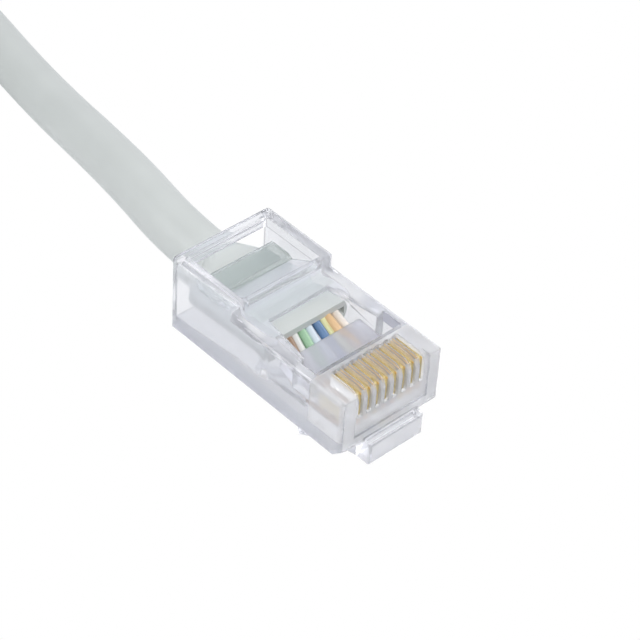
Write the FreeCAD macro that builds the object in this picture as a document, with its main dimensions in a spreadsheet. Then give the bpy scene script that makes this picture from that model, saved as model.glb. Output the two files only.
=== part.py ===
"""Eight-way modular data plug, crimped on a short patch lead.

Frame: the nose points to -Y, the contacts face +Z, and the latch lies below the body.
The origin is under the middle of the near plug, level with the tip of its latch.
Inside a plug, lengths run from the nose face (y = 0) and heights from the underside (z = 0).
"""
import FreeCAD, Part
import math
import os
import re

import Sketcher

Vector = FreeCAD.Vector
Rotation = FreeCAD.Rotation

SIZES = (
    # for every piece: how far a cut runs past the surface it opens
    ("cut_margin", 1.0),
    # share of a radius that the middle of a quarter arc lies inside its corner
    ("arc_inset", 0.29),
    # clear body
    ("body_width", 11.68),
    ("body_length", 22.3),
    ("front_height", 6.65),
    ("rear_height", 8.0),
    ("rear_block_length", 8.45),
    ("nose_bevel_height", 1.0),
    ("nose_bevel_length", 1.1),
    ("edge_radius", 0.6),
    ("side_wall", 1.1),
    ("chamber_corner_radius", 2.4),
    ("wire_chamber_floor", 2.4),
    ("entry_ramp", 2.0),
    ("jacket_front_gap", 1.4),
    ("roof_wall", 1.1),
    ("front_roof_wall", 0.55),
    ("floor_wall_rear", 1.4),
    ("floor_wall_front", 2.1),
    ("mouth_flare", 0.45),
    # comb that holds the contacts
    ("contact_count", 8),
    ("contact_pitch", 1.016),
    ("comb_length", 5.2),
    ("comb_setback", 0.20),
    ("comb_lip_height", 1.95),
    ("comb_corner_radius", 0.9),
    ("comb_side_land", 0.46),
    # contact blade
    ("blade_thickness", 0.46),
    ("blade_clearance", 0.02),
    ("blade_front", 0.50),
    ("blade_length", 3.25),
    ("blade_recess", 0.38),
    ("blade_corner_radius", 0.50),
    ("blade_rear_radius", 0.30),
    ("blade_shoulder_height", 3.90),
    ("tine_count", 3),
    ("tine_width", 0.46),
    ("tine_bite", 0.12),
    # wires
    ("wire_diameter", 0.80),
    ("core_diameter", 0.51),
    ("core_length", 4.0),
    ("wire_clearance", 0.03),
    ("wire_height", 3.10),
    ("wire_end", 0.95),
    ("wire_side_gap", 0.32),
    ("wire_rear_pitch", 0.84),
    ("wire_fan_front", 7.2),
    ("wire_rear_shift", 0.35),
    ("wire_mouth_depth", 0.5),
    # jacket end, squashed by the pressed bar
    ("cable_diameter", 5.0),
    ("cable_height", 4.10),
    ("jacket_end", 10.4),
    ("jacket_mouth_gap", 0.3),
    ("jacket_end_half_width", 4.35),
    ("jacket_end_height", 2.3),
    ("jacket_end_rise", 1.4),
    ("jacket_pressed_half_width", 4.1),
    ("jacket_pressed_height", 3.36),
    ("jacket_oval_share", 0.62),
    ("jacket_neck_length", 1.3),
    ("seat_clearance", 0.05),
    # opening over the wires, with its pressed bar
    ("window_front", 4.45),
    ("window_step", 6.6),
    ("window_rear_gap", 1.75),
    ("window_front_half_width", 5.0),
    ("window_step_half_width", 4.3),
    ("window_rear_half_width", 3.5),
    ("window_floor", 3.9),
    ("wire_bar_half_width", 4.05),
    ("wire_bar_rear", 8.7),
    ("wire_bar_top", 4.9),
    ("wire_bar_edge", 0.85),
    ("wire_bar_root", 0.8),
    ("wire_bar_taper", 0.4),
    ("wire_bar_lip", 0.3),
    ("wire_bar_lip_rise", 0.1),
    # opening in the rear block, with its pressed bar
    ("recess_setback", 0.5),
    ("recess_rear_wall", 0.9),
    ("recess_half_width", 4.5),
    ("jacket_bar_half_width", 3.95),
    ("jacket_bar_slope", 3.35),
    ("jacket_bar_reach", 6.05),
    ("jacket_bar_top", 6.45),
    ("jacket_bar_dip", 6.15),
    ("jacket_bar_edge", 0.5),
    ("jacket_bar_edge_rise", 0.4),
    ("jacket_bar_ease", 0.1),
    # latch and its root on the nose
    ("root_width", 6.3),
    ("root_reach", 1.0),
    ("root_top_front", 1.0),
    ("root_top_rear", 1.35),
    ("root_radius", 0.35),
    ("latch_thickness", 1.0),
    ("latch_pivot_back", 0.75),
    ("latch_pivot_drop", 0.68),
    ("latch_seat_clearance", 0.05),
    ("latch_rest_angle", 14.9),
    ("latch_length", 14.3),
    ("latch_ramp_start", 4.2),
    ("latch_lock_distance", 7.85),
    ("latch_lock_height", 0.95),
    ("latch_tail_width", 3.25),
    ("latch_tail_radius", 0.9),
    ("latch_grip_length", 2.2),
    ("latch_grip_flat", 1.54),
    ("latch_grip_height", 0.3),
    # lead between the two plugs
    ("coil_radius_outer", 27.5),
    ("coil_radius_inner", 21.25),
    ("coil_layers", 2),
    ("near_lead_in", 5.65),
    ("far_lead_in", 12.0),
)

ALIASES = {alias for alias, _ in SIZES}

# Free lead in the part's own frame, mm: its way to the coil, and from there to the far plug.
# Straight lead-ins, which follow from the plugs, stand before and after these points.
RUN_POINTS = (
    (2.1, 27.6, 8.75),
    (7.2, 47.5, 4.1),
    (11.4, 64.4, 2.5),
)
COIL_CENTRE = (-13.5, 84.0)
COIL_START_ANGLE = -10.0
COIL_TURN_ANGLE = 910.0
TAIL_POINTS = (
    (-41.8, 66.5, 7.0),
)
FAR_EXIT = (-43.4, 37.0, 5.84)
FAR_YAW = -2.0
BEND_SHARE = 0.45
OVAL_STEPS = 32
# lengths nearer to each other than this count as equal
CLOSE = 1e-4

document = FreeCAD.newDocument("ModularPlug")
sheet = document.addObject("Spreadsheet::Sheet", "Sizes")
for row, (alias, amount) in enumerate(SIZES, start=1):
    sheet.set("A%d" % row, alias)
    sheet.set("B%d" % row, str(amount))
    sheet.setAlias("B%d" % row, alias)
document.recompute()


def qualified(text):
    """A size expression with each alias written as a cell of the sheet."""
    return re.sub(r"[a-z_]+", lambda word: "Sizes." + word.group() if word.group() in ALIASES
                  else word.group(), text)


def value(text):
    """The number that a size expression gives."""
    return float(sheet.evalExpression(text))


def bind(feature, prop, text):
    feature.setExpression(prop, qualified(text))


# ---------------------------------------------------------------- sketches and features


def new_body(label):
    body = document.addObject("PartDesign::Body", label)
    body.Label = label
    return body


def new_sketch(body, role, name, offset=None):
    """A sketch on one of the body's own planes, moved along that plane's normal."""
    plane = next(item for item in body.Origin.OriginFeatures if item.Role == role)
    sketch = body.newObject("Sketcher::SketchObject", name)
    sketch.AttachmentSupport = [(plane, "")]
    sketch.MapMode = "FlatFace"
    if offset:
        bind(sketch, "AttachmentOffset.Base.z", offset)
    return sketch


def pin_point(sketch, geometry, position, across, up):
    """Ties one point of a sketch to two size expressions."""
    for kind, text in (("DistanceX", across), ("DistanceY", up)):
        number = sketch.addConstraint(
            Sketcher.Constraint(kind, -1, 1, geometry, position, value(text)))
        bind(sketch, "Constraints[%d]" % number, text)


def draw_outline(sketch, corners):
    """A closed outline of straight edges, each corner tied to the sheet."""
    points = [Vector(value(across), value(up), 0) for across, up in corners]
    for index, point in enumerate(points):
        following = points[(index + 1) % len(points)]
        sketch.addGeometry(Part.LineSegment(point, following), False)
    for index, (across, up) in enumerate(corners):
        before = (index - 1) % len(corners)
        sketch.addConstraint(Sketcher.Constraint("Coincident", before, 2, index, 1))
        pin_point(sketch, index, 1, across, up)


def draw_circle(sketch, across, up, radius):
    centre = Vector(value(across), value(up), 0)
    circle = sketch.addGeometry(Part.Circle(centre, Vector(0, 0, 1), value(radius)), False)
    pin_point(sketch, circle, 3, across, up)
    number = sketch.addConstraint(Sketcher.Constraint("Radius", circle, value(radius)))
    bind(sketch, "Constraints[%d]" % number, radius)


def pad(body, name, sketch, length):
    """Adds the sketch's outline, half of the length to each side of it."""
    feature = body.newObject("PartDesign::Pad", name)
    feature.Profile = sketch
    feature.SideType = "Symmetric"
    bind(feature, "Length", length)
    document.recompute()
    return feature


def pocket(body, name, sketch, length):
    """Cuts the sketch's outline, half of the length to each side of it."""
    before = body.Shape.Volume
    feature = body.newObject("PartDesign::Pocket", name)
    feature.Profile = sketch
    feature.SideType = "Symmetric"
    bind(feature, "Length", length)
    document.recompute()
    if not body.Shape.Volume < before:
        raise RuntimeError(name + " cut nothing")
    return feature


def side_pad(body, name, corners, width, offset=None):
    """A pad of an outline in the side view (length, height)."""
    sketch = new_sketch(body, "YZ_Plane", name + "_outline", offset)
    draw_outline(sketch, corners)
    return pad(body, name, sketch, width)


def side_pocket(body, name, corners, width, offset=None):
    """A pocket of an outline in the side view (length, height)."""
    sketch = new_sketch(body, "YZ_Plane", name + "_outline", offset)
    draw_outline(sketch, corners)
    return pocket(body, name, sketch, width)


def row_of(body, name, feature):
    """Repeats a feature at the contact pitch, towards +X."""
    axis = next(item for item in body.Origin.OriginFeatures if item.Role == "X_Axis")
    pattern = body.newObject("PartDesign::LinearPattern", name)
    pattern.Originals = [feature]
    pattern.Direction = (axis, [""])
    pattern.Mode = "Spacing"
    bind(pattern, "Offset", "contact_pitch")
    bind(pattern, "Occurrences", "contact_count")
    body.Tip = pattern
    document.recompute()
    return pattern


def round_edges(body, name, radius, wanted):
    """Rounds each edge of the body that the test accepts."""
    base = body.Tip
    edges = ["Edge%d" % (index + 1) for index, edge in enumerate(base.Shape.Edges)
             if wanted(edge)]
    feature = body.newObject("PartDesign::Fillet", name)
    feature.Base = (base, edges)
    bind(feature, "Radius", radius)
    document.recompute()
    return feature


def middle(edge):
    """The middle of an edge's box."""
    return edge.BoundBox.Center


def runs_along(edge, axis):
    """True for a straight edge whose length is along the axis, 0 to 2."""
    box = edge.BoundBox
    spans = (box.XLength, box.YLength, box.ZLength)
    return spans[axis] > CLOSE and sum(spans) - spans[axis] < CLOSE


def near(first, second):
    return abs(first - second) < CLOSE


# ---------------------------------------------------------------- clear body


ROW_WIDTH = "(contact_count - 1) * contact_pitch"
REAR_ROW_WIDTH = "(contact_count - 1) * wire_rear_pitch"
FIRST_POSITION = "-" + ROW_WIDTH + " / 2"
BLOCK_FRONT = "body_length - rear_block_length"
WINDOW_REAR = BLOCK_FRONT + " - window_rear_gap"
RECESS_FRONT = BLOCK_FRONT + " + recess_setback"
RECESS_REAR = "body_length - recess_rear_wall"
BAR_STEP = BLOCK_FRONT + " + jacket_bar_slope"
BAR_REAR = BLOCK_FRONT + " + jacket_bar_reach"


def add_shell_block(body):
    side_pad(body, "block", (
        ("0", "nose_bevel_height"),
        ("nose_bevel_length", "0"),
        ("body_length", "0"),
        ("body_length", "rear_height"),
        (BLOCK_FRONT, "rear_height"),
        (BLOCK_FRONT, "front_height"),
        ("0", "front_height"),
    ), "body_width")
    half = value("body_width / 2")
    round_edges(body, "outer_rounding", "edge_radius",
                lambda edge: near(abs(middle(edge).x), half) and edge.BoundBox.XLength < CLOSE)


def add_latch_root(body):
    """The block ahead of the nose that the latch is moulded to, with its round seat."""
    side_pad(body, "latch_root", (
        ("-root_reach", "-latch_pivot_drop - latch_thickness / 2"),
        ("latch_pivot_back", "-latch_pivot_drop - latch_thickness / 2"),
        ("latch_pivot_back", "-latch_pivot_drop / 5"),
        ("nose_bevel_length", "0"),
        ("nose_bevel_length", "root_top_rear"),
        ("0", "root_top_rear"),
        ("-root_reach", "root_top_front"),
    ), "root_width")
    face = -value("root_reach")
    round_edges(body, "root_rounding", "root_radius",
                lambda edge: near(middle(edge).y, face))
    sketch = new_sketch(body, "YZ_Plane", "latch_seat_outline")
    draw_circle(sketch, "latch_pivot_back", "-latch_pivot_drop",
                "latch_thickness / 2 + latch_seat_clearance")
    pocket(body, "latch_seat", sketch, "root_width + cut_margin")


def cut_cavities(body):
    """The jacket's chamber, open at the rear, and the lower one that the wires fan out in."""
    ceiling = "front_height - front_roof_wall"
    width = "body_width - 2 * side_wall"
    side_pocket(body, "jacket_chamber", (
        ("body_length + cut_margin", "floor_wall_rear"),
        ("body_length + cut_margin", "rear_height - roof_wall"),
        (BLOCK_FRONT + " + roof_wall", "rear_height - roof_wall"),
        (BLOCK_FRONT, ceiling),
        ("jacket_end - jacket_front_gap", ceiling),
        ("jacket_end - jacket_front_gap", "floor_wall_front"),
        (BLOCK_FRONT, "floor_wall_front"),
        ("body_length - entry_ramp", "floor_wall_rear"),
    ), width)
    corner_y = value("jacket_end - jacket_front_gap")
    round_edges(body, "chamber_shoulders", "chamber_corner_radius",
                lambda edge: runs_along(edge, 2) and near(middle(edge).y, corner_y))
    side_pocket(body, "wire_chamber", (
        ("jacket_end", "wire_chamber_floor"),
        ("jacket_end", ceiling),
        ("window_step", "wire_bar_top"),
        ("comb_length", "wire_bar_top"),
        ("comb_length", "wire_chamber_floor"),
    ), ROW_WIDTH + " + wire_diameter + 2 * wire_side_gap")
    mouth = new_sketch(body, "XZ_Plane", "mouth_outline", "-body_length")
    half = "(body_width / 2 - side_wall + mouth_flare)"
    draw_outline(mouth, (
        ("-" + half, "floor_wall_rear - mouth_flare"),
        (half, "floor_wall_rear - mouth_flare"),
        (half, "rear_height - roof_wall + mouth_flare"),
        ("-" + half, "rear_height - roof_wall + mouth_flare"),
    ))
    pocket(body, "mouth", mouth, "mouth_flare * 2")


def cut_comb(body):
    """Square wire tunnels and contact slots side by side, and the comb's set-back front."""
    tunnel = new_sketch(body, "XZ_Plane", "tunnel_outline", "-(comb_length + wire_end) / 2")
    half = "(wire_diameter / 2 + wire_clearance)"
    draw_outline(tunnel, (
        (FIRST_POSITION + " - " + half, "wire_height - " + half),
        (FIRST_POSITION + " + " + half, "wire_height - " + half),
        (FIRST_POSITION + " + " + half, "wire_height + " + half),
        (FIRST_POSITION + " - " + half, "wire_height + " + half),
    ))
    first = pocket(body, "tunnel", tunnel, "comb_length - wire_end + 2 * wire_clearance")
    row_of(body, "tunnels", first)
    rear = "blade_front + blade_length + blade_clearance"
    first = side_pocket(body, "slot", (
        ("-cut_margin", "blade_shoulder_height"),
        ("wire_end", "blade_shoulder_height"),
        ("wire_end", "wire_height"),
        (rear, "wire_height"),
        (rear, "front_height + cut_margin"),
        ("-cut_margin", "front_height + cut_margin"),
    ), "blade_thickness + 2 * blade_clearance", FIRST_POSITION)
    row_of(body, "slots", first)
    field = ROW_WIDTH + " + blade_thickness + 2 * comb_side_land"
    side_pocket(body, "comb_front", (
        ("-cut_margin", "comb_lip_height"),
        ("comb_setback", "comb_lip_height"),
        ("comb_setback", "front_height - comb_corner_radius"),
        ("comb_setback + comb_corner_radius * arc_inset", "front_height - comb_corner_radius * arc_inset"),
        ("comb_setback + comb_corner_radius", "front_height"),
        ("comb_setback + comb_corner_radius", "front_height + cut_margin"),
        ("-cut_margin", "front_height + cut_margin"),
    ), field)


def cut_window(body):
    """The opening over the wires: narrow over the jacket's end, wide behind the comb."""
    sketch = new_sketch(body, "XY_Plane", "window_outline", "front_height")
    right = (
        ("window_front_half_width", "window_front"),
        ("window_front_half_width", "window_step"),
        ("window_step_half_width", "window_step"),
        ("window_rear_half_width", WINDOW_REAR),
    )
    left = tuple(("-" + across, along) for across, along in reversed(right))
    draw_outline(sketch, right + left)
    pocket(body, "window", sketch, "2 * (front_height - window_floor)")


def cut_recess(body):
    """The opening in the rear block's roof, down into the jacket's chamber."""
    sketch = new_sketch(body, "XY_Plane", "recess_outline", "rear_height")
    draw_outline(sketch, (
        ("-recess_half_width", RECESS_FRONT),
        ("recess_half_width", RECESS_FRONT),
        ("recess_half_width", RECESS_REAR),
        ("-recess_half_width", RECESS_REAR),
    ))
    pocket(body, "recess", sketch, "2 * (roof_wall + cut_margin)")


JACKET_FLOOR = "floor_wall_front + seat_clearance"
JACKET_TOP_PRESSED = JACKET_FLOOR + " + jacket_pressed_height + seat_clearance"


def add_jacket_bar(body):
    """The strain relief: a plate that hangs from the recess's front edge, pressed down."""
    root = BLOCK_FRONT + " + recess_setback / 2"
    web_floor = "rear_height - roof_wall"
    side_pad(body, "jacket_bar", (
        (root, "rear_height - edge_radius / 2"),
        (root, web_floor),
        (RECESS_FRONT, web_floor),
        (BAR_STEP, JACKET_TOP_PRESSED + " + jacket_bar_ease"),
        (BAR_REAR + " - jacket_bar_edge", JACKET_TOP_PRESSED),
        (BAR_REAR, JACKET_TOP_PRESSED + " + jacket_bar_edge_rise"),
        (BAR_REAR, "jacket_bar_top"),
        (BAR_STEP + " + jacket_bar_edge", "jacket_bar_top"),
        (BAR_STEP, "jacket_bar_dip"),
        (RECESS_FRONT, "rear_height - edge_radius / 2"),
    ), "2 * jacket_bar_half_width")


def add_wire_bar(body):
    """The smaller bar that holds the wires down behind the comb."""
    wire_top = "wire_height + wire_diameter / 2 + seat_clearance"
    side_pad(body, "wire_bar", (
        ("comb_length - wire_bar_root", wire_top),
        ("wire_fan_front - wire_bar_taper", wire_top),
        ("wire_bar_rear", wire_top + " + wire_bar_edge"),
        ("wire_bar_rear", "wire_bar_top - wire_bar_lip_rise"),
        ("wire_bar_rear - wire_bar_lip", "wire_bar_top + wire_bar_lip_rise"),
        ("window_step", "wire_bar_top"),
        ("comb_length - wire_bar_root", "wire_bar_top - wire_bar_lip"),
    ), "2 * wire_bar_half_width")


def build_housing(name):
    body = new_body(name)
    add_shell_block(body)
    add_latch_root(body)
    cut_cavities(body)
    cut_comb(body)
    cut_window(body)
    cut_recess(body)
    add_jacket_bar(body)
    add_wire_bar(body)
    return body


# ---------------------------------------------------------------- latch


def build_latch(name):
    """The lever, straight along +Y from its round knuckle, thickness along Z."""
    body = new_body(name)
    half = "latch_thickness / 2"
    side_pad(body, "wide_part", (
        ("0", "-" + half),
        ("latch_ramp_start", "-" + half),
        ("latch_lock_distance", "-" + half + " - latch_lock_height"),
        ("latch_lock_distance", half),
        ("0", half),
    ), "root_width")
    knuckle = new_sketch(body, "YZ_Plane", "knuckle_outline")
    draw_circle(knuckle, "0", "0", half)
    pad(body, "knuckle", knuckle, "root_width")
    side_pad(body, "tail", (
        ("latch_lock_distance - latch_thickness", "-" + half),
        ("latch_length - latch_grip_length", "-" + half),
        ("latch_length - latch_grip_flat", "-" + half),
        ("latch_length", "-" + half),
        ("latch_length", half + " + latch_grip_height"),
        ("latch_length - latch_grip_flat", half + " + latch_grip_height"),
        ("latch_length - latch_grip_length", half),
        ("latch_lock_distance - latch_thickness", half),
    ), "latch_tail_width")
    end = value("latch_length")
    round_edges(body, "tail_rounding", "latch_tail_radius",
                lambda edge: runs_along(edge, 2) and near(middle(edge).y, end))
    lock = value("latch_lock_distance")
    side = value("root_width / 2")
    round_edges(body, "shoulder_rounding", "root_radius",
                lambda edge: runs_along(edge, 2) and near(middle(edge).y, lock)
                and near(abs(middle(edge).x), side))
    return body


# ---------------------------------------------------------------- contacts


def build_contact(name):
    """One blade in its middle plane, with pointed tines on its lower edge."""
    body = new_body(name)
    top = "front_height - blade_recess"
    rear = "blade_front + blade_length"
    tip = "wire_height + core_diameter / 2 - tine_bite"
    corners = [
        ("blade_front", top),
        ("blade_front", "blade_shoulder_height"),
    ]
    for centre in tine_centres():
        corners.append((centre + " - tine_width / 2", "blade_shoulder_height"))
        corners.append((centre, tip))
        corners.append((centre + " + tine_width / 2", "blade_shoulder_height"))
    corners.append((rear, "blade_shoulder_height"))
    corners.append((rear, top))
    side_pad(body, "blade", corners, "blade_thickness")
    front_y = value("blade_front")
    rear_y = value(rear)
    top_z = value(top)
    for end, radius in ((front_y, "blade_corner_radius"), (rear_y, "blade_rear_radius")):
        round_edges(body, "rounding_%d" % round(end * 10), radius,
                    lambda edge: runs_along(edge, 0) and near(middle(edge).y, end)
                    and near(middle(edge).z, top_z))
    return body


def tine_centres():
    """Places of the tines along the blade, evenly spread over the tunnel."""
    count = int(value("tine_count"))
    free = "(blade_front + blade_length - wire_end)"
    return ["wire_end + %s * %g" % (free, (index + 0.5) / count) for index in range(count)]


# ---------------------------------------------------------------- wires, jacket and lead


def rounded_path(points, radius_of):
    """Straight runs joined by tangent arcs; radius_of gives each corner's radius."""
    edges = []
    start = points[0]
    for index in range(1, len(points) - 1):
        before, corner, after = points[index - 1], points[index], points[index + 1]
        arrive = (corner - before).normalize()
        leave = (after - corner).normalize()
        turn = arrive.getAngle(leave)
        radius = radius_of(turn, min((corner - before).Length, (after - corner).Length))
        reach = radius * math.tan(turn / 2)
        first = corner - arrive * reach
        last = corner + leave * reach
        bulge = (leave - arrive).normalize()
        centre = corner + bulge * (radius / math.cos(turn / 2))
        edges.append(Part.LineSegment(start, first).toShape())
        edges.append(Part.Arc(first, centre - bulge * radius, last).toShape())
        start = last
    edges.append(Part.LineSegment(start, points[-1]).toShape())
    return Part.Wire(edges)


def swept_rod(path, diameter):
    """A round rod along a path, mitred where the path has a corner."""
    start = path.Edges[0]
    direction = start.tangentAt(start.FirstParameter)
    ring = Part.Wire(Part.makeCircle(diameter / 2, start.Vertexes[0].Point, direction))
    mitred = 1
    return path.makePipeShell([ring], True, False, mitred)


def add_feature(name, shape):
    feature = document.addObject("Part::Feature", name)
    feature.Label = name
    feature.Shape = shape
    return feature


def place_in_row(index):
    """Steps from the middle of the row of contacts to one of them."""
    return index - (value("contact_count") - 1) / 2


def wire_path(index):
    """From the wire's own tunnel, slanting up to its place in the jacket's mouth."""
    across_front = place_in_row(index) * value("contact_pitch")
    across_rear = place_in_row(index) * value("wire_rear_pitch") + value("wire_rear_shift")
    up_front = value("wire_height")
    return Part.makePolygon([
        Vector(across_front, value("wire_end"), up_front),
        Vector(across_front, value("wire_fan_front"), up_front),
        Vector(across_rear, value("jacket_end + wire_mouth_depth"),
               value(JACKET_END_MIDDLE + " + wire_mouth_depth * " + WIRE_RISE)),
    ])


def tine_notch(index):
    """The block that the tines of one contact take out of its wire."""
    thickness = value("blade_thickness")
    across = place_in_row(index) * value("contact_pitch")
    tip = value("wire_height + core_diameter / 2 - tine_bite")
    centres = [value(centre) for centre in tine_centres()]
    length = centres[-1] - centres[0] + value("tine_width")
    corner = Vector(across - thickness / 2, centres[0] - value("tine_width") / 2, tip)
    return Part.makeBox(thickness, length, value("wire_diameter"), corner)


def build_core(name, index):
    """The bared stretch of conductor that the contact bites, in its tunnel."""
    across = place_in_row(index) * value("contact_pitch")
    start = Vector(across, value("wire_end"), value("wire_height"))
    rod = Part.makeCylinder(value("core_diameter / 2"), value("core_length"), start,
                            Vector(0, 1, 0))
    return add_feature(name, rod.cut(tine_notch(index)))


def build_insulation(name, index):
    sleeve = swept_rod(wire_path(index), value("wire_diameter"))
    across = place_in_row(index) * value("contact_pitch")
    start = Vector(across, value("wire_end"), value("wire_height"))
    bore = Part.makeCylinder(value("core_diameter / 2"), value("core_length"), start,
                             Vector(0, 1, 0))
    return add_feature(name, sleeve.cut([bore, tine_notch(index)]))


JACKET_END_MIDDLE = JACKET_FLOOR + " + jacket_end_rise + jacket_end_height / 2"
WIRE_RISE = "(" + JACKET_END_MIDDLE + " - wire_height) / (jacket_end - wire_fan_front)"
JACKET_SECTIONS = (
    # along, half width, half height before it is flattened, height of the middle
    ("body_length", "cable_diameter / 2", "cable_diameter / 2", "cable_height"),
    ("body_length - jacket_neck_length", "jacket_pressed_half_width",
     "jacket_pressed_half_width * jacket_oval_share",
     JACKET_FLOOR + " + jacket_pressed_height / 2"),
    ("jacket_end", "jacket_end_half_width", "jacket_end_half_width * jacket_oval_share",
     JACKET_END_MIDDLE),
)


def oval_outline(along, half_width, half_height, up):
    """An oval across the plug, made of short straight edges."""
    corners = []
    for step in range(OVAL_STEPS):
        turned = 2 * math.pi * step / OVAL_STEPS
        corners.append(Vector(half_width * math.cos(turned), along,
                              up + half_height * math.sin(turned)))
    return Part.makePolygon(corners + corners[:1])


def jacket_side(name):
    """The squashed jacket in side view, wider than the jacket itself."""
    body = new_body(name)
    side_pad(body, "squashed", (
        ("jacket_end", JACKET_FLOOR + " + jacket_end_rise"),
        (BAR_REAR + " - jacket_bar_edge", JACKET_FLOOR),
        ("body_length", "cable_height - cable_diameter / 2"),
        ("body_length", "cable_height + cable_diameter / 2"),
        (BAR_REAR + " - jacket_bar_edge", JACKET_FLOOR + " + jacket_pressed_height"),
        ("jacket_end", JACKET_END_MIDDLE + " + jacket_end_height / 2"),
    ), "body_width")
    return body


def jacket_mouth(name):
    """The slot in the jacket's end that holds the row of wires, on their slant."""
    body = new_body(name)
    half = "(wire_diameter / 2 * sqrt(1 + (%s)^2) + wire_clearance)" % WIRE_RISE
    depth = "(wire_mouth_depth + jacket_mouth_gap)"
    before = JACKET_END_MIDDLE + " - cut_margin * " + WIRE_RISE
    behind = JACKET_END_MIDDLE + " + " + depth + " * " + WIRE_RISE
    side_pad(body, "slanted", (
        ("jacket_end - cut_margin", before + " - " + half),
        ("jacket_end + " + depth, behind + " - " + half),
        ("jacket_end + " + depth, behind + " + " + half),
        ("jacket_end - cut_margin", before + " + " + half),
    ), REAR_ROW_WIDTH + " + wire_diameter + 2 * wire_side_gap", "wire_rear_shift")
    return body


def build_jacket_end(name):
    """The jacket inside the plug, flattened by the bar, open where the wires come out."""
    outlines = [oval_outline(*[value(text) for text in section]) for section in JACKET_SECTIONS]
    skin = Part.makeLoft(outlines, True, True)
    side = jacket_side(name + "_side")
    mouth = jacket_mouth(name + "_mouth")
    return add_feature(name, skin.common(side.Shape).cut(mouth.Shape))


def cord_radius(turn, shorter_run):
    """An arc that takes the same share of the shorter run at each side of a corner."""
    return BEND_SHARE * shorter_run / math.tan(turn / 2)


def build_cord_tube(name, points):
    """The plain tube of a free stretch of the lead, checked against its length."""
    radii = []

    def noted_radius(turn, shorter_run):
        radius = cord_radius(turn, shorter_run)
        radii.append(round(radius, 1))
        return radius

    path = rounded_path([Vector(*point) for point in points], noted_radius)
    diameter = value("cable_diameter")
    tube = swept_rod(path, diameter)
    expected = path.Length * math.pi * diameter ** 2 / 4
    print(name, "length", round(path.Length, 1), "bend radii", radii,
          "volume / expected", round(tube.Volume / expected, 4))
    return add_feature(name, tube)


def coil_point(angle, radius, height):
    turned = math.radians(angle)
    return (COIL_CENTRE[0] + radius * math.cos(turned),
            COIL_CENTRE[1] + radius * math.sin(turned), height)


def build_coil(name):
    """The outer shape of the coiled stretch: a flat ring, two turns high."""
    body = new_body(name)
    sketch = new_sketch(body, "XZ_Plane", "ring_outline")
    inner = "coil_radius_inner - cable_diameter / 2"
    outer = "coil_radius_outer + cable_diameter / 2"
    height = "coil_layers * cable_diameter"
    draw_outline(sketch, ((inner, "0"), (outer, "0"), (outer, height), (inner, height)))
    ring = body.newObject("PartDesign::Revolution", "ring")
    ring.Profile = sketch
    ring.ReferenceAxis = (sketch, ["V_Axis"])
    body.Placement = FreeCAD.Placement(Vector(*COIL_CENTRE, 0), Rotation())
    return body


# ---------------------------------------------------------------- assembly


def build_plug(prefix, placement, wired):
    """The pieces of one plug at one placement, with or without its contacts and wires."""
    pieces = [build_housing(prefix + "housing")]
    pieces.append(build_jacket_end(prefix + "jacket_end"))
    for piece in pieces:
        piece.Placement = placement
    count = int(value("contact_count")) if wired else 0
    for index in range(count):
        contact = build_contact("%scontact_%d" % (prefix, index + 1))
        across = place_in_row(index) * value("contact_pitch")
        contact.Placement = placement * FreeCAD.Placement(Vector(across, 0, 0), Rotation())
        wire = build_insulation("%swire_%d" % (prefix, index + 1), index)
        core = build_core("%score_%d" % (prefix, index + 1), index)
        wire.Placement = placement
        core.Placement = placement
        pieces += [contact, wire, core]
    latch = build_latch(prefix + "latch")
    pivot = Vector(0, value("latch_pivot_back"), -value("latch_pivot_drop"))
    droop = Rotation(Vector(1, 0, 0), -value("latch_rest_angle"))
    latch.Placement = placement * FreeCAD.Placement(pivot, droop)
    return pieces + [latch]


def near_placement():
    """Stands the near plug on the tip of its latch, with its box centred on the origin."""
    angle = math.radians(value("latch_rest_angle"))
    drop = value("latch_pivot_drop") + value("latch_length") * math.sin(angle)
    drop += value("latch_thickness / 2") * math.cos(angle)
    return FreeCAD.Placement(Vector(0, -value("(body_length - root_reach) / 2"), drop), Rotation())


def far_placement():
    """Lays the far plug on its side, its cable exit where the lead ends."""
    turned = Rotation(Vector(0, 0, 1), FAR_YAW) * Rotation(Vector(0, 1, 0), 90)
    exit_point = Vector(0, value("body_length"), value("cable_height"))
    return FreeCAD.Placement(Vector(*FAR_EXIT) - turned.multVec(exit_point), turned)


def lead_in(placement, length):
    """The point where the lead leaves a plug, and the end of its straight start."""
    along = (value("body_length"), value("body_length") + length)
    return tuple(tuple(placement.multVec(Vector(0, y, value("cable_height")))) for y in along)


def build_lead(near_place, far_place):
    """The free lead: a run to the coil, the coil, and a tail to the far plug."""
    level = value("cable_diameter / 2")
    outer = value("coil_radius_outer")
    top = level + (value("coil_layers") - 1) * value("cable_diameter")
    entry = coil_point(COIL_START_ANGLE, outer, level)
    leave = coil_point(COIL_START_ANGLE + COIL_TURN_ANGLE, outer, top)
    starts = lead_in(near_place, value("near_lead_in"))
    ends = lead_in(far_place, value("far_lead_in"))
    run = build_cord_tube("cable_run", starts + RUN_POINTS + (entry,))
    coil = build_coil("cable_coil")
    tail = build_cord_tube("cable_tail", (leave,) + TAIL_POINTS + ends[::-1])
    return [run, coil, tail]


def check(pieces):
    for item in document.Objects:
        if "Invalid" in item.State or "Error" in item.State:
            raise RuntimeError(item.Label + " failed: " + str(item.State))
    for piece in pieces:
        if piece.Shape.isNull() or not piece.Shape.isValid():
            raise RuntimeError(piece.Label + " has no valid shape")


nodes = build_plug("", near_placement(), True)
nodes += build_lead(near_placement(), far_placement())
nodes += build_plug("far_", far_placement(), False)
document.recompute()
check(nodes)
os.makedirs("parts", exist_ok=True)
for node in nodes:
    node.Shape.exportStep("parts/%s.step" % node.Label)
print(len(nodes), "nodes written")
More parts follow.
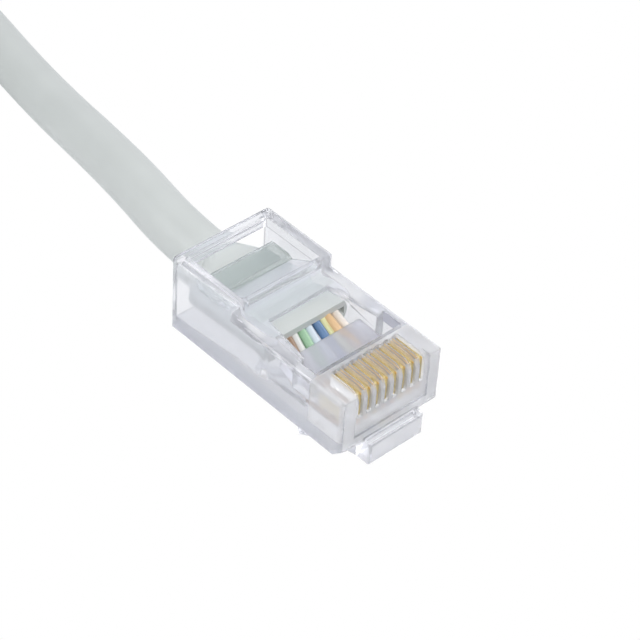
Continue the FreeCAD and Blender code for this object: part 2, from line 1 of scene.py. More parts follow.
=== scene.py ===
"""Looks, lead, light and camera for the eight-way modular data plug.

The nose points to -Y and the contacts face +Z. Lengths are written in millimetres, and MM turns
them into Blender's metres. Inside a plug, lengths run from the nose face (y = 0) and heights from
the underside (z = 0).
"""

import math

import bmesh
import bpy
from mathutils import Matrix, Vector


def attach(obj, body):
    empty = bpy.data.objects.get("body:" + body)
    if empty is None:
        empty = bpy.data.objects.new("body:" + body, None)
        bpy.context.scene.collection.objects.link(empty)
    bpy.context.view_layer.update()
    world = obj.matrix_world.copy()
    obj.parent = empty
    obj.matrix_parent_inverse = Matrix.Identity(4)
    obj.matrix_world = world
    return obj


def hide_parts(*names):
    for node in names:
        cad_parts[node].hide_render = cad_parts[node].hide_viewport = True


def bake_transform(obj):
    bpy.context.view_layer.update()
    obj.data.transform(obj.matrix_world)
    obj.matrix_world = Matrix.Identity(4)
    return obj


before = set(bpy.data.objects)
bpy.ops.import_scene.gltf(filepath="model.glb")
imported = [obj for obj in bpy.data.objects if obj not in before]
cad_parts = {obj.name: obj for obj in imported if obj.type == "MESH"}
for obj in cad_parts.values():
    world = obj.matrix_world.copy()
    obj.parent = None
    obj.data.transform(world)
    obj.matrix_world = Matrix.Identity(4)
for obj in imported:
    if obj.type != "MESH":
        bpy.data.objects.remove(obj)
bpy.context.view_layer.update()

MM = 0.001
scene = bpy.context.scene


# ---------------------------------------------------------------- the plug's own places

BODY_LENGTH = 22.3
# how far the latch's root stands out in front of the nose face
ROOT_REACH = 1.0
# the cable's middle above the underside
CABLE_HEIGHT = 4.10
CABLE_DIAMETER = 5.0
CONTACT_PITCH = 1.016
CONTACT_COUNT = 8
# the underside above the floor, while the near plug lies on its latch's tail
UNDERSIDE = 4.84019

# plug frame to part frame, in mm: the near plug lies straight, and the far one lies on its flank,
# turned a little, where the lead enters it
NEAR = Matrix.Translation((0, -(BODY_LENGTH - ROOT_REACH) / 2, UNDERSIDE))
FAR_EXIT = Vector((-43.4, 37.0, 5.84))
FAR_HEADING = math.radians(-2.0)
FAR_ROLL = math.radians(90)
FAR_TURN = Matrix.Rotation(FAR_HEADING, 4, "Z") @ Matrix.Rotation(FAR_ROLL, 4, "Y")
FAR = (Matrix.Translation(FAR_EXIT) @ FAR_TURN
       @ Matrix.Translation((0, -BODY_LENGTH, -CABLE_HEIGHT)))


# ---------------------------------------------------------------- camera

CAMERA_TARGET = NEAR @ Vector((2.0475, 11.3199, 4.0))
CAMERA_AZIMUTH = math.radians(-45.0924)
CAMERA_ELEVATION = math.radians(41.4171)
CAMERA_ROLL = math.radians(4.009)
CAMERA_DISTANCE = 220.0
CAMERA_LENS = 141.6
CAMERA_SENSOR = 36.0
CAMERA_RANGE = (5.0, 5000.0)


def make_camera():
    """The camera, looking at its target from its azimuth and elevation, a little rolled."""
    data = bpy.data.cameras.new("camera")
    data.lens = CAMERA_LENS
    data.sensor_width = CAMERA_SENSOR
    data.clip_start = CAMERA_RANGE[0] * MM
    data.clip_end = CAMERA_RANGE[1] * MM
    camera = bpy.data.objects.new("camera", data)
    scene.collection.objects.link(camera)
    back = Vector((math.sin(CAMERA_AZIMUTH) * math.cos(CAMERA_ELEVATION),
                   -math.cos(CAMERA_AZIMUTH) * math.cos(CAMERA_ELEVATION),
                   math.sin(CAMERA_ELEVATION)))
    right = Vector((math.cos(CAMERA_AZIMUTH), math.sin(CAMERA_AZIMUTH), 0))
    up = back.cross(right)
    rolled_right = right * math.cos(CAMERA_ROLL) + up * math.sin(CAMERA_ROLL)
    rolled_up = back.cross(rolled_right)
    place = Matrix((rolled_right, rolled_up, back)).transposed().to_4x4()
    place.translation = (CAMERA_TARGET + back * CAMERA_DISTANCE) * MM
    camera.matrix_world = place
    scene.camera = camera


make_camera()


# ---------------------------------------------------------------- materials

WHITE = "#FFFFFF"
POLYCARBONATE_IOR = 1.585
PLASTIC_IOR = 1.5
# the soft edges that a mould leaves, their radius in mm
MOULD_EDGE = 0.25
MOULD_EDGE_SAMPLES = 8
# what a thin clear wall lets through to the pieces inside
WALL_TINT = "#DEDFE5"
# how long the slow changes of tone are in the plastics and in the metals, in mm
PLASTIC_TONES = 6.667
METAL_TONES = 1.111
# reliefs of the surfaces: height in mm, how much of it shows and how finely it is broken up;
# the clear plastic's ripples and the metals' drawing marks also have one length, in mm
RIPPLE_LENGTH = 2.5
RIPPLES = {"height": 0.03, "strength": 0.02, "detail": 2.0}
SATIN_GRAIN = {"height": 0.02, "strength": 0.15, "detail": 4.0}
MARK_LENGTH = 0.2
DRAWING_MARKS = {"height": 0.01, "strength": 0.1, "detail": 2.0}


def linear(code):
    """An sRGB hex colour as linear red, green, blue, alpha."""
    parts = [int(code[i:i + 2], 16) / 255 for i in (1, 3, 5)]
    return [c / 12.92 if c <= 0.04045 else ((c + 0.055) / 1.055) ** 2.4 for c in parts] + [1.0]


def add_node(tree, kind, links=None, **settings):
    """A node; settings set its properties, links its sockets from values or sockets."""
    node = tree.nodes.new(kind)
    for name, setting in settings.items():
        setattr(node, name, setting)
    for name, source in (links or {}).items():
        if isinstance(source, bpy.types.NodeSocket):
            tree.links.new(source, node.inputs[name])
        else:
            node.inputs[name].default_value = source
    return node


def new_material(name):
    """An empty node material and its tree."""
    material = bpy.data.materials.new(name)
    material.use_nodes = True
    material.node_tree.nodes.clear()
    return material, material.node_tree


def mottled(tree, light, dark, length):
    """Two near tones in soft patches of about a length in mm, fixed to the piece."""
    place = add_node(tree, "ShaderNodeTexCoord").outputs["Object"]
    patches = add_node(tree, "ShaderNodeTexNoise", {"Vector": place, "Scale": 1 / (length * MM)})
    mix = add_node(tree, "ShaderNodeMix", {
        "Factor": patches.outputs["Fac"], "A": linear(light), "B": linear(dark)},
        data_type="RGBA")
    return mix.outputs["Result"]


def relief(tree, length, height, strength, detail, over=None):
    """Fine bumps of about a length in mm, fixed to the piece, over its own or given normals."""
    place = add_node(tree, "ShaderNodeTexCoord").outputs["Object"]
    bumps = add_node(tree, "ShaderNodeTexNoise", {
        "Vector": place, "Scale": 1 / (length * MM), "Detail": detail})
    links = {"Height": bumps.outputs["Fac"], "Strength": strength, "Distance": height * MM}
    if over is not None:
        links["Normal"] = over
    return add_node(tree, "ShaderNodeBump", links).outputs["Normal"]


def clear_plastic(name, tint, roughness, haze):
    """Injection-moulded polycarbonate, a little bluer and greyer with each wall behind it.

    The haze is the share of light that the plastic scatters instead of letting through.
    """
    material, tree = new_material(name)
    rounded = add_node(tree, "ShaderNodeBevel", {"Radius": MOULD_EDGE * MM},
                       samples=MOULD_EDGE_SAMPLES)
    ripples = relief(tree, RIPPLE_LENGTH, **RIPPLES, over=rounded.outputs["Normal"])
    surface = add_node(tree, "ShaderNodeBsdfPrincipled", {
        "Base Color": linear(tint), "Roughness": roughness, "IOR": POLYCARBONATE_IOR,
        "Transmission Weight": 1.0 - haze, "Normal": ripples})
    # light reaches what is inside through the thin walls
    path = add_node(tree, "ShaderNodeLightPath")
    through = add_node(tree, "ShaderNodeBsdfTransparent", {"Color": linear(WALL_TINT)})
    mix = add_node(tree, "ShaderNodeMixShader", {
        0: path.outputs["Is Shadow Ray"], 1: surface.outputs["BSDF"], 2: through.outputs["BSDF"]})
    add_node(tree, "ShaderNodeOutputMaterial", {"Surface": mix.outputs["Shader"]})
    return material


def moulded_plastic(name, light, dark, roughness, grain):
    """Opaque extruded or moulded plastic: two near tones and a matte grain of a size in mm."""
    material, tree = new_material(name)
    surface = add_node(tree, "ShaderNodeBsdfPrincipled", {
        "Base Color": mottled(tree, light, dark, PLASTIC_TONES), "Roughness": roughness,
        "IOR": PLASTIC_IOR, "Normal": relief(tree, grain, **SATIN_GRAIN)})
    add_node(tree, "ShaderNodeOutputMaterial", {"Surface": surface.outputs["BSDF"]})
    return material


def plated_metal(name, light, dark, roughness):
    """Bare or plated metal with faint drawing marks, drawn coarse enough to show."""
    material, tree = new_material(name)
    surface = add_node(tree, "ShaderNodeBsdfPrincipled", {
        "Base Color": mottled(tree, light, dark, METAL_TONES), "Roughness": roughness,
        "Metallic": 1.0, "Normal": relief(tree, MARK_LENGTH, **DRAWING_MARKS)})
    add_node(tree, "ShaderNodeOutputMaterial", {"Surface": surface.outputs["BSDF"]})
    return material


# polycarbonate from a polished mould: glassy, soft-edged, with a cool grey depth
CLEAR = clear_plastic("clear_polycarbonate", "#F3F4F7", roughness=0.12, haze=0.13)
# the same plastic on the thin ribs between the contacts, which scatter light and look milky
MILKY = clear_plastic("comb_polycarbonate", "#F3F3F3", roughness=0.12, haze=0.34)
# the same plastic on the ribs' flat tops, clear enough to show the gold beside them
RIB_TOP = clear_plastic("rib_top_polycarbonate", "#FDFCF9", roughness=0.1, haze=0.14)
# the same plastic where the crimping tool has pressed it down: dull and a little grey
PRESSED = clear_plastic("pressed_polycarbonate", "#D4D5DA", roughness=0.3, haze=0.4)
# the steep walls left around the pressed bar: a darker violet grey painted on them, a painted
# reflection of the dark room that these polished walls mirror
STEEP = clear_plastic("steep_wall_polycarbonate", "#B4B6C3", roughness=0.25, haze=0.5)
# the same plastic pressed hard on the jacket: a greenish grey painted into it, painted shade of the
# jacket under it, darker than in air
HELD = clear_plastic("held_polycarbonate", "#D2D8D5", roughness=0.15, haze=0.16)
# the same plastic as a thin deck over the jacket, tinted a little greenish grey: painted shade of
# the jacket under it
DECK = clear_plastic("deck_polycarbonate", "#E6EAE8", roughness=0.12, haze=0.13)
# the same plastic on the flanks of the solid floor: a dull grey band along the body
FLANK = clear_plastic("flank_polycarbonate", "#D9DBE1", roughness=0.25, haze=0.3)
# phosphor bronze plated with gold: a warm, slightly uneven shine
GOLD = plated_metal("gold_plated_contact", "#E9D8A6", "#CDBA82", roughness=0.32)
# the same gold seen through the hazy ribs that hold the blades: spread out, warm and dull
GOLD_BEHIND = moulded_plastic("gold_behind_rib", "#E2BC50", "#CCA440", roughness=0.5, grain=1.111)
# bare drawn copper: pinkish and a little duller than the gold
COPPER = plated_metal("copper_core", "#E3AE88", "#C98F66", roughness=0.3)
# extruded soft PVC: greenish grey and satin, its grain drawn coarser than real so that it shows
JACKET = moulded_plastic("grey_jacket", "#CDD1CE", "#C2C6C3", roughness=0.42, grain=0.25)
# extruded polyethylene insulation of the wires, from -X to +X: smooth, satin, plainly coloured,
# its grain drawn coarser than real so that it shows
# (the record's slot, light tone, dark tone, how far the wire bows up and sideways, in mm)
WIRES = (
    ("brown_insulation", "#9A7F68", "#8B7059", 0.25, 0.28),
    ("white_brown_insulation", "#D9DAD6", "#CBCAC6", 0.0, 0.05),
    ("green_insulation", "#9FC3A1", "#8FB794", 0.15, 0.1),
    ("white_blue_insulation", "#D0D9E0", "#BECBD7", 0.05, 0.0),
    ("blue_insulation", "#6484AA", "#58779F", 0.15, 0.1),
    ("white_green_insulation", "#E0DEAC", "#D0CE96", 0.1, -0.1),
    ("orange_insulation", "#E2C093", "#D5AF80", 0.7, -0.5),
    ("white_orange_insulation", "#E3DDD3", "#D9CDBE", 0.2, -0.4),
)
INSULATION = [moulded_plastic(slot, light, dark, roughness=0.35, grain=0.3333)
              for slot, light, dark, _, _ in WIRES]


def material_of(name):
    """The material of a CAD node, by the kind of piece that its name gives."""
    plain = name.replace("far_", "")
    if plain in ("housing", "latch"):
        return CLEAR
    if plain.startswith("contact"):
        return GOLD
    if plain.startswith("core"):
        return COPPER
    if plain.startswith("wire"):
        return INSULATION[int(plain.split("_")[1]) - 1]
    return JACKET


for name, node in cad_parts.items():
    node.data.materials.clear()
    node.data.materials.append(material_of(name))


# ---------------------------------------------------------------- lead

# how far the lead runs straight out of the near and the far plug
NEAR_LEAD_IN = 5.65
FAR_LEAD_IN = 12.0
# the free run from the near plug down to the floor, and the tail from the coil to the far plug
RUN_POINTS = (
    (2.1, 27.6, 8.75),
    (7.2, 47.5, 4.1),
    (11.4, 64.4, 2.5),
)
TAIL_POINTS = (
    (-41.8, 66.5, 7.0),
)
# the coil: its middle, radii and control points, and in degrees where it starts, how far it goes
# round and over how much of that it climbs to its second layer
COIL_CENTRE = (-13.5, 84.0)
COIL_OUTER = 27.5
COIL_INNER = 21.25
COIL_STEPS = 40
COIL_START = -10.0
COIL_TURN = 910.0
COIL_CLIMB = 60.0
SPLINE_ORDER = 3
SPLINE_STEPS = 12
LEAD_ROUNDNESS = 10


def coil_places():
    """The coiled stretch: inwards on the floor, up one layer, and outwards on top of it."""
    places = []
    half = COIL_TURN / 2
    low = CABLE_DIAMETER / 2
    for step in range(COIL_STEPS + 1):
        turned = COIL_TURN * step / COIL_STEPS
        inwards = min(turned / half, (COIL_TURN - turned) / half)
        radius = COIL_OUTER + (COIL_INNER - COIL_OUTER) * inwards
        climb = min(max((turned - half + COIL_CLIMB / 2) / COIL_CLIMB, 0), 1)
        # control points of a round turn lie outside it
        reach = radius / math.cos(math.radians(COIL_TURN / COIL_STEPS) / 2)
        if step in (0, COIL_STEPS):
            reach = radius
        angle = math.radians(COIL_START + turned)
        places.append((COIL_CENTRE[0] + reach * math.cos(angle),
                       COIL_CENTRE[1] + reach * math.sin(angle),
                       low + CABLE_DIAMETER * climb))
    return places


def leaving(place, lead_in):
    """Where the lead leaves a plug, and the end of its straight start."""
    return [place @ Vector((0, BODY_LENGTH + along, CABLE_HEIGHT)) for along in (0, lead_in)]


def spline_object(name, places):
    """One open spline through the air, from places in mm."""
    curve = bpy.data.curves.new(name, "CURVE")
    curve.dimensions = "3D"
    spline = curve.splines.new("NURBS")
    spline.points.add(len(places) - 1)
    for point, place in zip(spline.points, places):
        point.co = (place[0] * MM, place[1] * MM, place[2] * MM, 1)
    spline.order_u = SPLINE_ORDER
    spline.use_endpoint_u = True
    spline.resolution_u = SPLINE_STEPS
    cord = bpy.data.objects.new(name, curve)
    scene.collection.objects.link(cord)
    return cord


near_exit = leaving(NEAR, NEAR_LEAD_IN)
far_exit = leaving(FAR, FAR_LEAD_IN)
route = near_exit + [Vector(p) for p in (*RUN_POINTS, *coil_places(), *TAIL_POINTS)]
route += far_exit[::-1]
lead = spline_object("lead", route)
lead.data.bevel_depth = CABLE_DIAMETER / 2 * MM
lead.data.bevel_resolution = LEAD_ROUNDNESS
lead.data.use_fill_caps = True
lead.data.materials.append(JACKET)
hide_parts("cable_run", "cable_coil", "cable_tail")
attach(lead, "plug")


# ---------------------------------------------------------------- shapes made by rule


def add_tree(name, inputs):
    """A Geometry Nodes tree with its group nodes; inputs are (name, socket kind)."""
    tree = bpy.data.node_groups.new(name, "GeometryNodeTree")
    tree.interface.new_socket("Geometry", in_out="INPUT", socket_type="NodeSocketGeometry")
    for label, kind in inputs:
        tree.interface.new_socket(label, in_out="INPUT", socket_type="NodeSocket" + kind)
    tree.interface.new_socket("Geometry", in_out="OUTPUT", socket_type="NodeSocketGeometry")
    return tree, add_node(tree, "NodeGroupInput")


def finish_tree(tree, geometry, material):
    """Ends a tree: its instances made real, its material set, its result handed out."""
    real = add_node(tree, "GeometryNodeRealizeInstances", {"Geometry": geometry})
    painted = add_node(tree, "GeometryNodeSetMaterial", {
        "Geometry": real.outputs["Geometry"], "Material": material})
    add_node(tree, "NodeGroupOutput", {"Geometry": painted.outputs["Geometry"]})
    return tree


def row_tree():
    """Repeats a piece in a row along X, centred on the piece's own place."""
    tree, given = add_tree("row", (("Count", "Int"), ("Pitch", "Float"),
                                   ("Material", "Material")))
    gaps = add_node(tree, "ShaderNodeMath", {0: given.outputs["Count"], 1: 1.0},
                    operation="SUBTRACT")
    width = add_node(tree, "ShaderNodeMath", {0: gaps.outputs[0], 1: given.outputs["Pitch"]},
                     operation="MULTIPLY")
    half = add_node(tree, "ShaderNodeMath", {0: width.outputs[0], 1: -0.5}, operation="MULTIPLY")
    start = add_node(tree, "ShaderNodeCombineXYZ", {"X": half.outputs[0]})
    step = add_node(tree, "ShaderNodeCombineXYZ", {"X": given.outputs["Pitch"]})
    line = add_node(tree, "GeometryNodeMeshLine", {
        "Count": given.outputs["Count"], "Start Location": start.outputs[0],
        "Offset": step.outputs[0]})
    placed = add_node(tree, "GeometryNodeInstanceOnPoints", {
        "Points": line.outputs["Mesh"], "Instance": given.outputs["Geometry"]})
    return finish_tree(tree, placed.outputs["Instances"], given.outputs["Material"])


def rod_tree():
    """A round rod along the path that it is given."""
    tree, given = add_tree("rod", (("Diameter", "Float"), ("Sides", "Int"),
                                   ("Material", "Material")))
    radius = add_node(tree, "ShaderNodeMath", {0: given.outputs["Diameter"], 1: 0.5},
                      operation="MULTIPLY")
    round_profile = add_node(tree, "GeometryNodeCurvePrimitiveCircle", {
        "Resolution": given.outputs["Sides"], "Radius": radius.outputs[0]})
    rod = add_node(tree, "GeometryNodeCurveToMesh", {
        "Curve": given.outputs["Geometry"], "Profile Curve": round_profile.outputs["Curve"],
        "Fill Caps": True})
    return finish_tree(tree, rod.outputs["Mesh"], given.outputs["Material"])


ROW = row_tree()
ROD = rod_tree()


def made_by(tree, source, name, values):
    """Runs a tree on an object, keeps the result as a plain mesh and drops the source."""
    modifier = source.modifiers.new("made", "NODES")
    modifier.node_group = tree
    for item in tree.interface.items_tree:
        if item.in_out == "INPUT" and item.name in values:
            modifier[item.identifier] = values[item.name]
    depsgraph = bpy.context.evaluated_depsgraph_get()
    mesh = bpy.data.meshes.new_from_object(source.evaluated_get(depsgraph))
    mesh.name = name
    bpy.data.objects.remove(source)
    made = bpy.data.objects.new(name, mesh)
    scene.collection.objects.link(made)
    return made


def shade(obj, sharp_above):
    """Shades a mesh smooth, except across edges sharper than the angle in degrees."""
    obj.data.shade_smooth()
    obj.data.set_sharp_from_angle(angle=math.radians(sharp_above))


def object_of(name, solid, material):
    """An object from a solid that is being worked on, which ends there."""
    mesh = bpy.data.meshes.new(name)
    solid.to_mesh(mesh)
    solid.free()
    mesh.materials.append(material)
    made = bpy.data.objects.new(name, mesh)
    scene.collection.objects.link(made)
    return made


def in_metres(place):
    """From mm in a plug to metres in the part."""
    return Matrix.Scale(MM, 4) @ place


# a CAD mesh's corners within this many mm are one, and faces within this many degrees are one
SAME_CORNER = 0.0005
SAME_FACE = 0.5


def merged_node(name, place):
    """A CAD node's mesh in mm in its plug, its doubles merged and its flat faces joined."""
    solid = bmesh.new()
    solid.from_mesh(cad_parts[name].data)
    solid.transform(in_metres(place).inverted())
    bmesh.ops.remove_doubles(solid, verts=solid.verts, dist=SAME_CORNER)
    bmesh.ops.dissolve_limit(solid, angle_limit=math.radians(SAME_FACE), verts=solid.verts,
                             edges=solid.edges)
    return solid


# ---------------------------------------------------------------- wires

WIRE_DIAMETER = 0.84
WIRE_SIDES = 24
WIRE_HEIGHT = 3.10
# lengths: the wires' cut ends, the last straight place, the tunnels' mouths, the jacket's mouth
WIRE_END = 0.95
STRAIGHT_END = 5.6
FAN_FRONT = 7.2
JACKET_MOUTH = 10.4
# the wires' height in the jacket's mouth, and how deep they go in
MOUTH_HEIGHT = 4.7
MOUTH_DEPTH = 0.5
REAR_PITCH = 0.84
REAR_SHIFT = 0.35
# a wire bows most at this share of its way to the jacket, and keeps this share of it sideways
ARCH_AT = 0.6
BOW_KEPT = 0.6


def wire_places(index):
    """A wire's own line: straight in its tunnel, then up and inwards to the jacket."""
    rise, bow = WIRES[index][3:]
    offset = index - (CONTACT_COUNT - 1) / 2
    front = Vector((offset * CONTACT_PITCH, FAN_FRONT, WIRE_HEIGHT))
    slope = (MOUTH_HEIGHT - WIRE_HEIGHT) / (JACKET_MOUTH - FAN_FRONT)
    rear = Vector((offset * REAR_PITCH + REAR_SHIFT + BOW_KEPT * bow, JACKET_MOUTH + MOUTH_DEPTH,
                   MOUTH_HEIGHT + MOUTH_DEPTH * slope))
    arch = front.lerp(rear, ARCH_AT) + Vector((bow, 0, rise))
    return [Vector((front.x, WIRE_END, WIRE_HEIGHT)),
            Vector((front.x, STRAIGHT_END, WIRE_HEIGHT)), front, arch, rear]


def add_wires(prefix, place):
    """The eight insulated wires of a plug."""
    made = []
    for index in range(CONTACT_COUNT):
        line = spline_object("wire_line", [place @ p for p in wire_places(index)])
        wire = made_by(ROD, line, "%swire_line_%d" % (prefix, index + 1), {
            "Diameter": WIRE_DIAMETER * MM, "Sides": WIRE_SIDES, "Material": INSULATION[index]})
        shade(wire, sharp_above=40)
        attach(wire, "plug")
        made.append(wire)
    return made


for index, wire in enumerate(add_wires("", NEAR)):
    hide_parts("wire_%d" % (index + 1))
far_pieces = add_wires("far_", FAR)


def far_row(kind):
    """All the far plug's pieces of a kind, repeated from the near plug's first one."""
    first = Matrix.Translation((-(CONTACT_COUNT - 1) / 2 * CONTACT_PITCH, 0, 0))
    source = object_of("first_piece", merged_node("%s_1" % kind, NEAR @ first), material_of(kind))
    row = made_by(ROW, source, "far_%ss" % kind, {
        "Count": CONTACT_COUNT, "Pitch": CONTACT_PITCH, "Material": material_of(kind)})
    row.data.transform(in_metres(FAR))
    shade(row, sharp_above=25)
    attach(row, "plug")
    return row


far_pieces += [far_row("contact"), far_row("core")]


def add_jacket_end(prefix, place):
    """The squashed end of the jacket, shaded smooth."""
    jacket = object_of(prefix + "squashed_jacket", merged_node(prefix + "jacket_end", place),
                       JACKET)
    jacket.data.transform(in_metres(place))
    shade(jacket, sharp_above=30)
    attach(jacket, "plug")
    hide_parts(prefix + "jacket_end")
    return jacket


add_jacket_end("", NEAR)
far_pieces.append(add_jacket_end("far_", FAR))


# ---------------------------------------------------------------- clear moulding

# the latch's root: its hinge line, its round seat, and the filling that makes it one moulding,
# a little larger round, shorter and further forward than the seat, so that no faces coincide
PIVOT = Vector((0, 0.75, -0.68))
SEAT_RADIUS = 0.55
ROOT_WIDTH = 6.3
FILL_SIDES = 48
FILL_LARGER = 0.01
FILL_SHORTER = 0.002
FILL_FORWARD = 0.001
# edges of the moulding that are sharper than this many degrees stay sharp
MOULD_SHARP = 25

# where the finishes part, in lengths: the slots beside the blades, the comb, the deck, the bar
BLADE_FRONT = 0.55
BLADE_REAR = 3.70
COMB_REAR = 4.1
DECK_FRONT = 12.08
DECK_REAR = 13.9
BAR_FRONT = 17.0
BAR_REAR = 20.0
# in heights: the solid floor, the ribs' feet, the nose's top, the gold beside the blades
FLOOR_TOP = 2.1
RIB_FOOT = 3.7
NOSE_TOP = 5.5
BLADE_SHOWS = 5.85
BLADE_TOP = 6.25
# and in widths from the middle: the comb, the deck, the outer walls
COMB_SIDE = 3.9
DECK_SIDE = 4.3
WALL_SIDE = 5.6
# planes that cut the faces which would cross from one finish into another, in the order of the
# cuts: a direction and a place along it
X, Y, Z = Vector((1, 0, 0)), Vector((0, 1, 0)), Vector((0, 0, 1))
FINISH_EDGES = (
    (Y, BLADE_FRONT), (Y, BLADE_REAR), (Z, BLADE_TOP), (Z, BLADE_SHOWS),
    (Y, DECK_FRONT), (X, -DECK_SIDE), (X, DECK_SIDE),
    (Y, COMB_REAR), (X, -COMB_SIDE), (X, COMB_SIDE), (Z, RIB_FOOT), (Z, NOSE_TOP),
    (Z, FLOOR_TOP),
)


def over(low):
    """A range with no upper end."""
    return low, math.inf


def under(high):
    """A range with no lower end."""
    return -math.inf, high


ANYWHERE = (-math.inf, math.inf)
# which way a face turns: a direction, and the least that the face's normal has of it
ANY_WAY = (Vector((0, 0, 0)), -1.0)
# where the finishes lie, the first that fits coming first: widths from the middle, lengths,
# heights and which way the faces turn; what none of them fits is CLEAR
FINISH_PLACES = (
    # the slots' walls beside the blades, facing either way
    (GOLD_BEHIND, under(COMB_SIDE), (BLADE_FRONT, BLADE_REAR), (BLADE_SHOWS, BLADE_TOP), (X, 0.9)),
    (GOLD_BEHIND, under(COMB_SIDE), (BLADE_FRONT, BLADE_REAR), (BLADE_SHOWS, BLADE_TOP), (-X, 0.9)),
    # the ribs' tops, then the comb itself, the outer walls beside it and the nose's top
    (RIB_TOP, under(COMB_SIDE), (BLADE_FRONT, BLADE_REAR), over(BLADE_TOP), (Z, 0.5)),
    (MILKY, under(COMB_SIDE), under(COMB_REAR), over(RIB_FOOT), ANY_WAY),
    (MILKY, over(WALL_SIDE), under(COMB_REAR), over(FLOOR_TOP), ANY_WAY),
    (MILKY, ANYWHERE, under(COMB_REAR), over(NOSE_TOP), (Z, 0.3)),
    # the bar pressed on the wires, the steep walls round it with their painted reflection, the bar
    # pressed on the jacket with its painted shade
    (PRESSED, under(4.1), (4.3, 8.75), (3.5, 5.1), ANY_WAY),
    (STEEP, under(5.1), (4.3, 6.65), (5.5, 6.6), (Y - X, 0.9)),
    (HELD, under(4.0), (BAR_FRONT, BAR_REAR), (5.0, 7.9), ANY_WAY),
    # the nose's face, the deck over the jacket with its painted shade, the flanks of the solid
    # floor
    (MILKY, ANYWHERE, under(0.5), ANYWHERE, (-Y, 0.9)),
    (DECK, under(DECK_SIDE), (DECK_FRONT, DECK_REAR), (6.15, 6.7), (Z - Y, 0.9)),
    (FLANK, over(WALL_SIDE), ANYWHERE, under(FLOOR_TOP), ANY_WAY),
)
FINISHES = (CLEAR, MILKY, PRESSED, STEEP, HELD, FLANK, GOLD_BEHIND, RIB_TOP, DECK)


def finish_at(centre, normal):
    """Which finish a face of a clear body has, by its place and direction in the plug."""
    place = (abs(centre.x), centre.y, centre.z)
    for finish, across, along, up, (way, least) in FINISH_PLACES:
        inside = all(low < value < high
                     for value, (low, high) in zip(place, (across, along, up)))
        if inside and normal.dot(way) > least:
            return finish
    return CLEAR


def applied(obj, kind, **settings):
    """Applies one modifier to a mesh object."""
    modifier = obj.modifiers.new("applied", kind)
    for name, setting in settings.items():
        setattr(modifier, name, setting)
    depsgraph = bpy.context.evaluated_depsgraph_get()
    result = bpy.data.meshes.new_from_object(obj.evaluated_get(depsgraph))
    obj.modifiers.clear()
    obj.data = result


def polish(obj):
    """Shades the fillets smooth and keeps the flat faces between them truly flat."""
    shade(obj, MOULD_SHARP)
    applied(obj, "WEIGHTED_NORMAL", keep_sharp=True)


def all_parts(solid):
    """All corners, edges and faces of a solid."""
    return solid.verts[:] + solid.edges[:] + solid.faces[:]


def cut_off(solid, place, beyond):
    """Takes away what lies beyond a plane and closes the cut."""
    cut = bmesh.ops.bisect_plane(solid, geom=all_parts(solid), plane_co=place, plane_no=beyond,
                                 clear_outer=True)
    rim = [item for item in cut["geom_cut"] if isinstance(item, bmesh.types.BMEdge)]
    bmesh.ops.contextual_create(solid, geom=rim)


def seat_fill():
    """The half round that fills the latch's seat in the root block."""
    fill = bmesh.new()
    across = Matrix.Translation(PIVOT) @ Matrix.Rotation(math.radians(90), 4, "Y")
    radius = SEAT_RADIUS + FILL_LARGER
    bmesh.ops.create_cone(fill, cap_ends=True, segments=FILL_SIDES, radius1=radius,
                          radius2=radius, depth=ROOT_WIDTH - FILL_SHORTER, matrix=across)
    cut_off(fill, PIVOT - Vector((0, FILL_FORWARD, 0)), Y)
    return object_of("seat_fill", fill, CLEAR)


def clear_moulding():
    """The body with its latch seat filled in, as one moulding, in mm in its plug."""
    body = object_of("clear_moulding", merged_node("housing", NEAR), CLEAR)
    fill = seat_fill()
    applied(body, "BOOLEAN", operation="UNION", solver="EXACT", object=fill)
    bpy.data.objects.remove(fill)
    mesh = body.data
    bpy.data.objects.remove(body)
    parted = bmesh.new()
    parted.from_mesh(mesh)
    for direction, place in FINISH_EDGES:
        bmesh.ops.bisect_plane(parted, geom=all_parts(parted), plane_co=direction * place,
                               plane_no=direction)
    bmesh.ops.triangulate(parted, faces=parted.faces)
    for face in parted.faces:
        finish = finish_at(face.calc_center_median(), face.normal)
        face.material_index = FINISHES.index(finish)
    parted.to_mesh(mesh)
    parted.free()
    for material in FINISHES[1:]:
        mesh.materials.append(material)
    return mesh


MOULDING = clear_moulding()


def add_clear_body(prefix, place):
    """One of the two equal mouldings in its place."""
    body = bpy.data.objects.new(prefix + "clear_body", MOULDING.copy())
    scene.collection.objects.link(body)
    body.data.transform(in_metres(place))
    polish(body)
    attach(body, "plug")
    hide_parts(prefix + "housing")
    return body


def add_lever(prefix, place):
    """The latch from the root's rear face on."""
    lever = merged_node(prefix + "latch", place)
    cut_off(lever, PIVOT, -Y)
    made = object_of(prefix + "latch_lever", lever, CLEAR)
    made.data.transform(in_metres(place))
    polish(made)
    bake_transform(made)
    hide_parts(prefix + "latch")
    return made


add_clear_body("", NEAR)
add_lever("", NEAR)
far_pieces += [add_clear_body("far_", FAR), add_lever("far_", FAR)]


# ---------------------------------------------------------------- floor, background and light

FLOOR_HALF = 1500.0
FLOOR_TONES = 83.33
# the world as matte surfaces and as mirrors and the clear body meet it
SOFT_LIGHT = ("#E6E8EE", 0.6)
MIRRORED_LIGHT = ("#E8E9EF", 0.9)
# square softboxes: name, place and target in mm, side in mm, watts
SOFTBOXES = (
    ("key_softbox", (-110, -150, 260), (0, 0, 6), 180, 0.5),
    ("rear_softbox", (-200, 150, 160), (0, 10, 6), 140, 0.2),
    ("side_softbox", (220, -40, 160), (0, 0, 6), 120, 0.28),
)


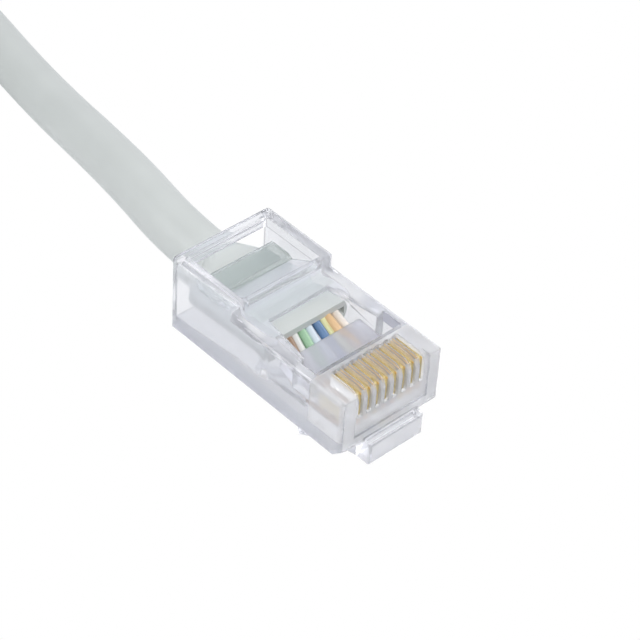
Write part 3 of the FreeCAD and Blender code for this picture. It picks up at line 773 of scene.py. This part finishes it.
def make_floor():
    """A matte, nearly white board, pure white to the camera, also through the clear body."""
    material, tree = new_material("pale_floor")
    tone = mottled(tree, "#F4F4F5", "#EFEFF1", FLOOR_TONES)
    matte = add_node(tree, "ShaderNodeBsdfPrincipled", {"Base Color": tone, "Roughness": 0.9})
    path = add_node(tree, "ShaderNodeLightPath")
    seen = add_node(tree, "ShaderNodeMath", {
        0: path.outputs["Is Camera Ray"], 1: path.outputs["Is Transmission Ray"]},
        operation="MAXIMUM")
    white = add_node(tree, "ShaderNodeEmission", {"Color": linear(WHITE), "Strength": 1.0})
    mix = add_node(tree, "ShaderNodeMixShader", {
        0: seen.outputs["Value"], 1: matte.outputs["BSDF"], 2: white.outputs["Emission"]})
    add_node(tree, "ShaderNodeOutputMaterial", {"Surface": mix.outputs["Shader"]})
    mesh = bpy.data.meshes.new("floor")
    half = FLOOR_HALF * MM
    corners = [(-half, -half, 0), (half, -half, 0), (half, half, 0), (-half, half, 0)]
    mesh.from_pydata(corners, [], [(0, 1, 2, 3)])
    mesh.materials.append(material)
    floor = bpy.data.objects.new("floor", mesh)
    scene.collection.objects.link(floor)


def make_world():
    """Even pale light all round, pure white to the camera."""
    world = bpy.data.worlds.new("studio")
    world.use_nodes = True
    tree = world.node_tree
    tree.nodes.clear()
    path = add_node(tree, "ShaderNodeLightPath")
    diffuse, mirrored, white = [
        add_node(tree, "ShaderNodeBackground", {"Color": linear(code), "Strength": strength})
        for code, strength in (SOFT_LIGHT, MIRRORED_LIGHT, (WHITE, 1.0))]
    sharp = add_node(tree, "ShaderNodeMath", {
        0: path.outputs["Is Glossy Ray"], 1: path.outputs["Is Transmission Ray"]},
        operation="MAXIMUM")
    met = add_node(tree, "ShaderNodeMixShader", {
        0: sharp.outputs["Value"], 1: diffuse.outputs["Background"],
        2: mirrored.outputs["Background"]})
    mix = add_node(tree, "ShaderNodeMixShader", {
        0: path.outputs["Is Camera Ray"], 1: met.outputs["Shader"],
        2: white.outputs["Background"]})
    add_node(tree, "ShaderNodeOutputWorld", {"Surface": mix.outputs["Shader"]})
    scene.world = world


def add_light(name, place, target, size, watts):
    """A square softbox that faces its target."""
    data = bpy.data.lights.new(name, "AREA")
    data.size = size * MM
    data.energy = watts
    light = bpy.data.objects.new(name, data)
    scene.collection.objects.link(light)
    light.location = Vector(place) * MM
    aim = (Vector(target) - Vector(place)).normalized()
    light.rotation_euler = aim.to_track_quat("-Z", "Y").to_euler()


make_floor()
make_world()
for softbox in SOFTBOXES:
    add_light(*softbox)


# ---------------------------------------------------------------- render settings

# the clear body's many walls lie behind each other, so a ray goes on through all of them
scene.cycles.max_bounces = 28
scene.cycles.transmission_bounces = 24
scene.cycles.transparent_max_bounces = 24
scene.cycles.glossy_bounces = 12
scene.view_settings.view_transform = "Standard"
